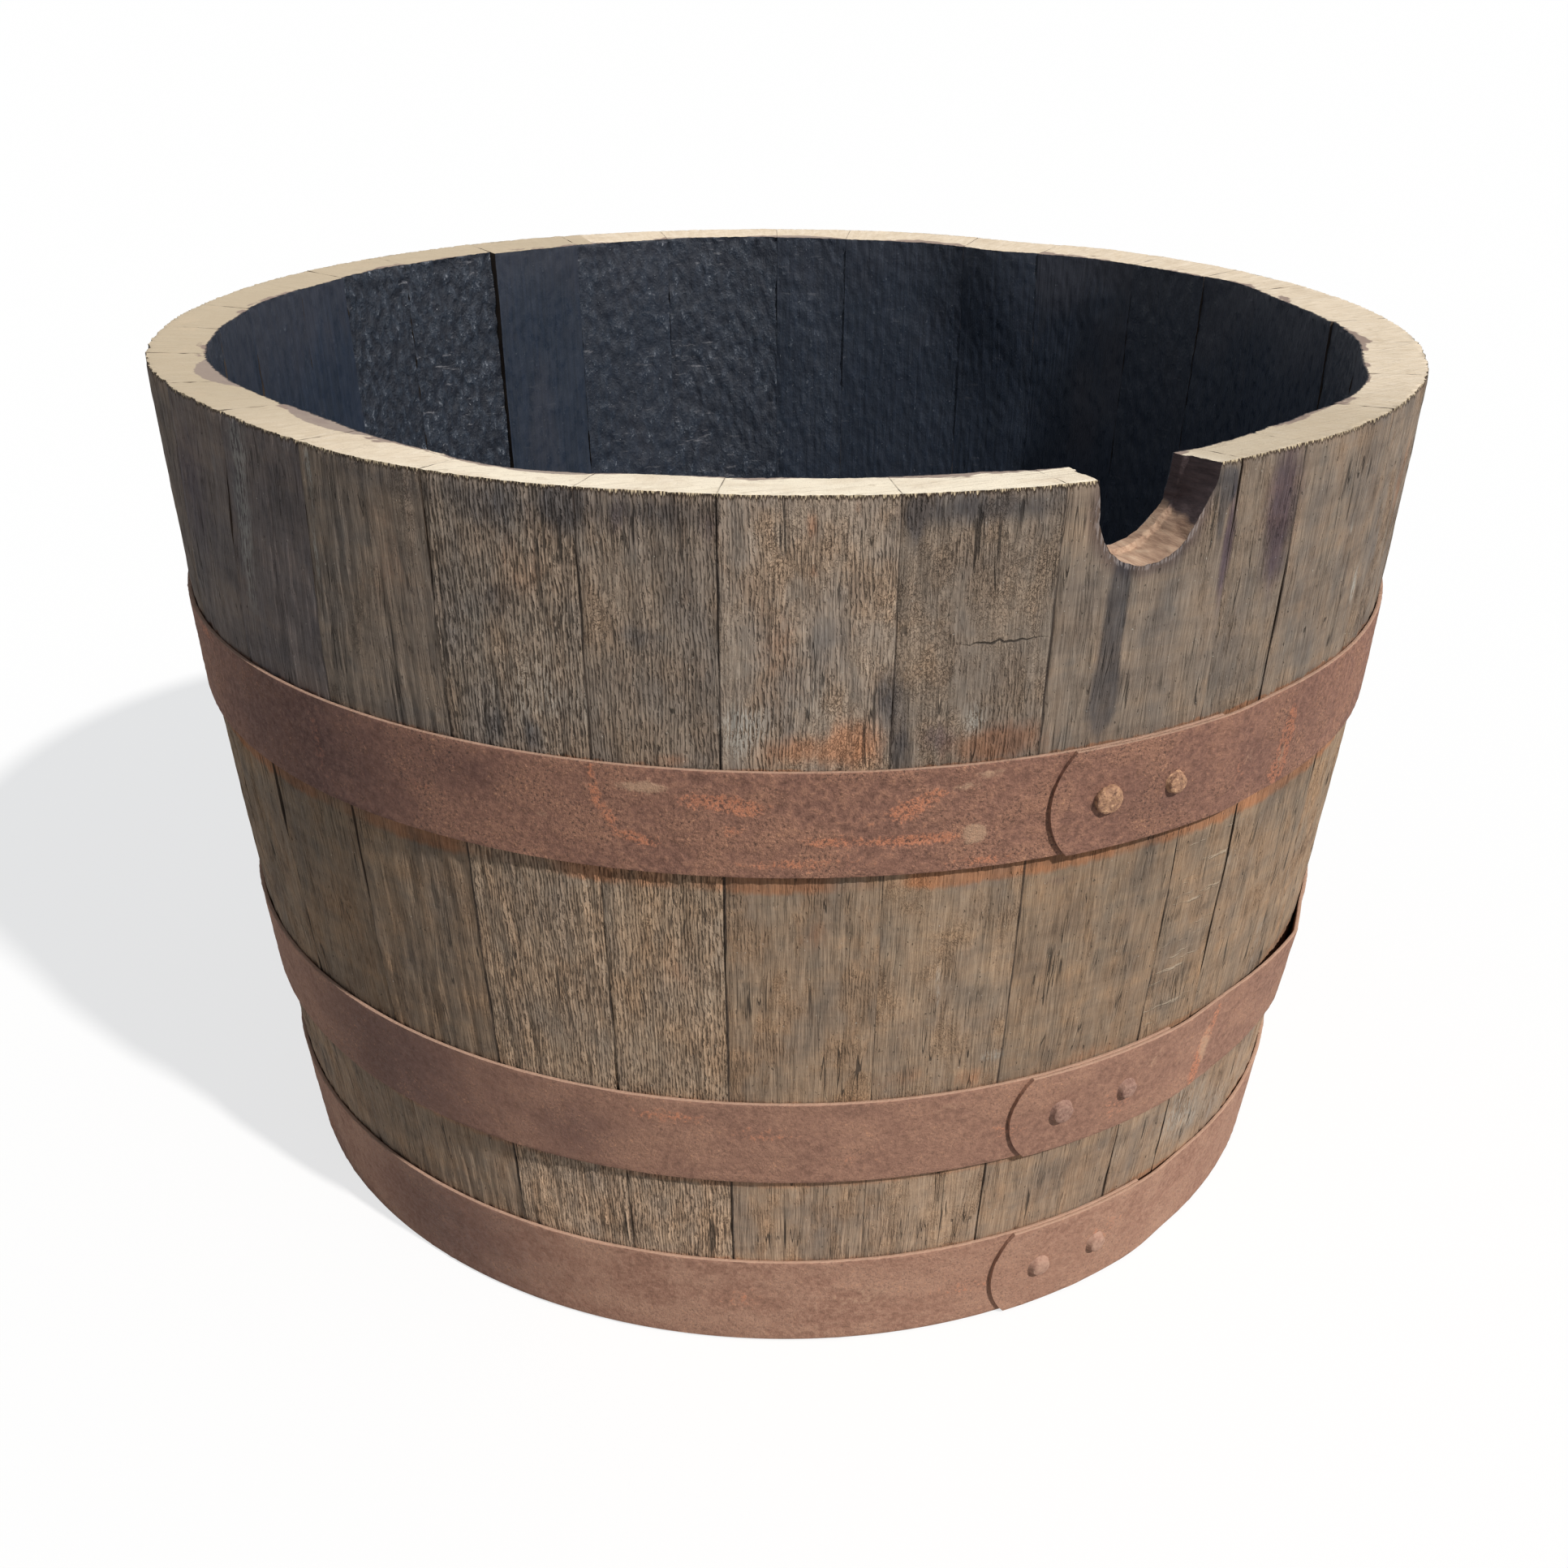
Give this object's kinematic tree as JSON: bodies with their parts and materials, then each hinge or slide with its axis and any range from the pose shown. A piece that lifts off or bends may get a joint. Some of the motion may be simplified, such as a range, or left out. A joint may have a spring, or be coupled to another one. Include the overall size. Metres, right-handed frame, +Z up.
{
  "type": "half barrel planter",
  "caption": "Oak half barrel planter: jointed staves in riveted steel hoops on a boarded head with drain holes, sawn open through the bung hole.",
  "frame": {"origin": "middle of the foot, on the plane of the stave ends", "axes": "+Z up along the cask's axis; the stave with the bung notch and the hoop laps face -Y"},
  "size_m": [0.66, 0.6604, 0.448],
  "materials": {
    "stave_oak": "weathered grey-brown oak outside, fresh sawn at the rim, charred black inside",
    "head_oak": "damp stained oak boards, charred on the upper face",
    "dowel_wood": "plain turned dowels, hidden in the head",
    "rusted_steel": "hoop steel with brown rust and fine pitting"
  },
  "bodies": {
    "root": {"bung_stave": "stave_oak", "stave_1": "stave_oak", "stave_2": "stave_oak", "stave_3": "stave_oak", "stave_4": "stave_oak", "stave_5": "stave_oak", "stave_6": "stave_oak", "stave_7": "stave_oak", "stave_8": "stave_oak", "stave_9": "stave_oak", "stave_10": "stave_oak", "stave_11": "stave_oak", "stave_12": "stave_oak", "stave_13": "stave_oak", "stave_14": "stave_oak", "stave_15": "stave_oak", "stave_16": "stave_oak", "stave_17": "stave_oak", "stave_18": "stave_oak", "stave_19": "stave_oak", "stave_20": "stave_oak", "stave_21": "stave_oak", "stave_22": "stave_oak", "stave_23": "stave_oak", "stave_24": "stave_oak", "stave_25": "stave_oak", "stave_26": "stave_oak", "stave_27": "stave_oak", "stave_28": "stave_oak", "stave_29": "stave_oak", "bilge_hoop": "rusted_steel", "quarter_hoop": "rusted_steel", "head_hoop": "rusted_steel", "bilge_rivets": "rusted_steel", "quarter_rivets": "rusted_steel", "head_rivets": "rusted_steel", "head_cant_left": "head_oak", "head_quarter_left": "head_oak", "head_middle": "head_oak", "head_quarter_right": "head_oak", "head_cant_right": "head_oak", "head_dowels": "dowel_wood"}
  },
  "joints": []
}
